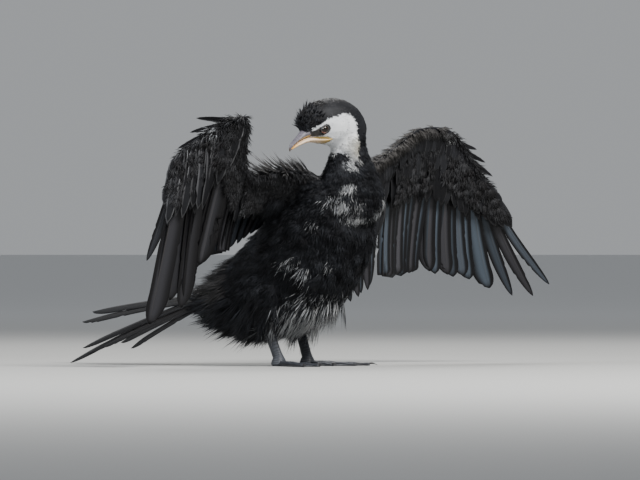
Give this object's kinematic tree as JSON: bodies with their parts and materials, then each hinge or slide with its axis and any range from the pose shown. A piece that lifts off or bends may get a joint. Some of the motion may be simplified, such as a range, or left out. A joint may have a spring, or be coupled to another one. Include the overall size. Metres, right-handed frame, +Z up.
{
  "type": "cormorant",
  "caption": "Small pied cormorant standing with its wings held half open to dry and its head turned back over its right shoulder, as a still life-size model.",
  "frame": {"origin": "on the floor, under the middle of the model's bounding box", "axes": "+Z up, the body faces -Y, the bird's left wing reaches towards +X and its tail towards +Y"},
  "size_m": [0.5758, 0.3976, 0.2811],
  "materials": {
    "plumage": "soft black body feathers, white on the cheeks and in flecks below",
    "flight_feathers": "stiff blue-black feathers with a dull gloss",
    "bill_ridge": "grey-blue horn, satin",
    "bill": "yellow horn, satin",
    "eye": "glossy dark brown",
    "leg_skin": "scaly slate-black skin"
  },
  "bodies": {
    "root": {"torso": "plumage", "neck": "plumage", "head": "plumage", "thigh_left": "plumage", "thigh_right": "plumage", "bill_upper": "bill_ridge", "bill_lower": "bill", "eye_left": "eye", "eye_right": "eye", "shank_left": "leg_skin", "shank_right": "leg_skin", "foot_left": "leg_skin", "foot_right": "leg_skin", "tail": "flight_feathers", "wing_left_arm": "flight_feathers", "wing_left_forearm": "flight_feathers", "wing_left_hand": "flight_feathers", "wing_right_arm": "flight_feathers", "wing_right_forearm": "flight_feathers", "wing_right_hand": "flight_feathers"}
  },
  "joints": []
}
